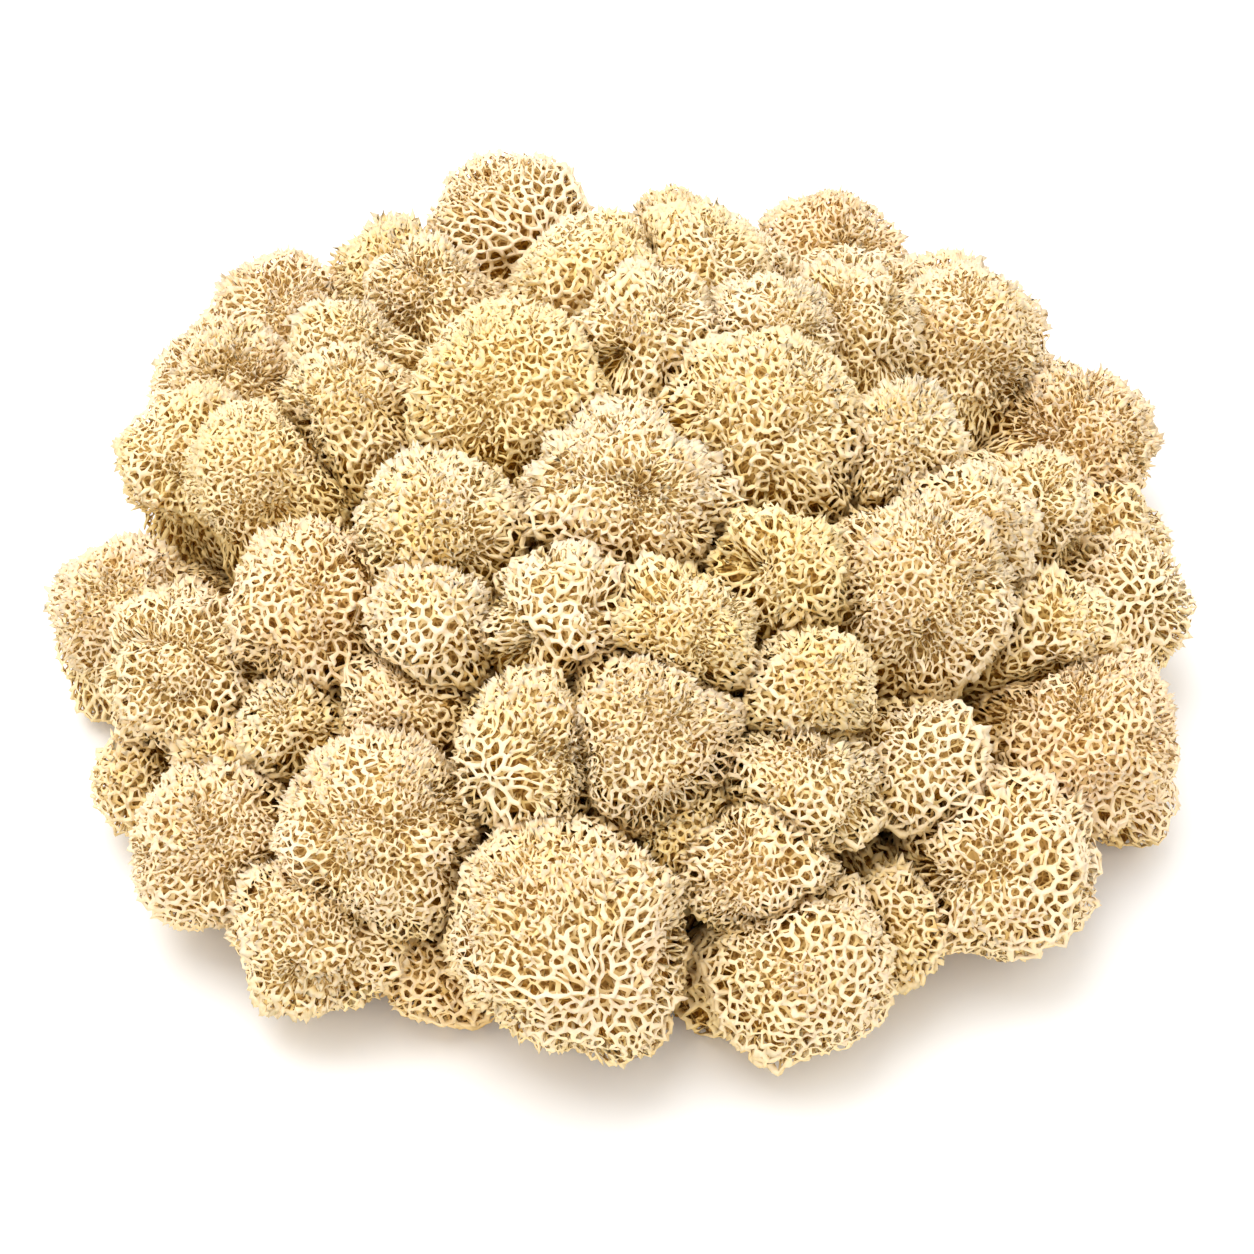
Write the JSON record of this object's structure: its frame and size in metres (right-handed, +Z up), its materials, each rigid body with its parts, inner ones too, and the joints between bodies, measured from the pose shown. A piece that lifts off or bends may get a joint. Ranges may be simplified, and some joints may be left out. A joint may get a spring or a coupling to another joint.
{
  "type": "reindeer moss clump",
  "caption": "Low dome of pale cushion lichen heads pressed together, each a ball of short forked branchlets on a tapered stem bundle that stands on the ground.",
  "frame": {"origin": "on the ground, under the middle of the clump's outline", "axes": "+Z up, +X to the right and -Y towards the viewer when the clump is seen from its front"},
  "size_m": [0.2028, 0.2046, 0.0692],
  "materials": {
    "lichen_ivory": "matt, dry lichen, ivory tips",
    "lichen_straw": "matt, dry lichen, straw-coloured",
    "lichen_sand": "matt, dry lichen, sand-coloured"
  },
  "bodies": {
    "root": {"crown_head_01": "lichen_ivory", "crown_head_02": "lichen_ivory", "crown_head_03": "lichen_ivory", "crown_head_04": "lichen_ivory", "crown_head_05": "lichen_ivory", "crown_head_06": "lichen_ivory", "crown_head_07": "lichen_ivory", "crown_head_08": "lichen_ivory", "crown_head_09": "lichen_ivory", "crown_head_10": "lichen_ivory", "crown_head_11": "lichen_ivory", "crown_head_12": "lichen_ivory", "rim_head_01": "lichen_sand", "rim_head_02": "lichen_sand", "rim_head_03": "lichen_sand", "rim_head_04": "lichen_sand", "rim_head_05": "lichen_sand", "rim_head_06": "lichen_sand", "rim_head_07": "lichen_sand", "rim_head_08": "lichen_sand", "rim_head_09": "lichen_sand", "rim_head_10": "lichen_sand", "rim_head_11": "lichen_sand", "rim_head_12": "lichen_sand", "rim_head_13": "lichen_sand", "rim_head_14": "lichen_sand", "rim_head_15": "lichen_sand", "rim_head_16": "lichen_sand", "rim_head_17": "lichen_sand", "rim_head_18": "lichen_sand", "rim_head_19": "lichen_sand", "rim_head_20": "lichen_sand", "rim_head_21": "lichen_sand", "rim_head_22": "lichen_sand", "shoulder_head_01": "lichen_straw", "shoulder_head_02": "lichen_straw", "shoulder_head_03": "lichen_straw", "shoulder_head_04": "lichen_straw", "shoulder_head_05": "lichen_straw", "shoulder_head_06": "lichen_straw", "shoulder_head_07": "lichen_straw", "shoulder_head_08": "lichen_straw", "shoulder_head_09": "lichen_straw", "shoulder_head_10": "lichen_straw", "shoulder_head_11": "lichen_straw", "shoulder_head_12": "lichen_straw", "shoulder_head_13": "lichen_straw", "shoulder_head_14": "lichen_straw", "shoulder_head_15": "lichen_straw", "shoulder_head_16": "lichen_straw", "shoulder_head_17": "lichen_straw", "shoulder_head_18": "lichen_straw", "shoulder_head_19": "lichen_straw", "shoulder_head_20": "lichen_straw", "shoulder_head_21": "lichen_straw", "shoulder_head_22": "lichen_straw", "shoulder_head_23": "lichen_straw", "shoulder_head_24": "lichen_straw", "shoulder_head_25": "lichen_straw", "shoulder_head_26": "lichen_straw"}
  },
  "joints": []
}
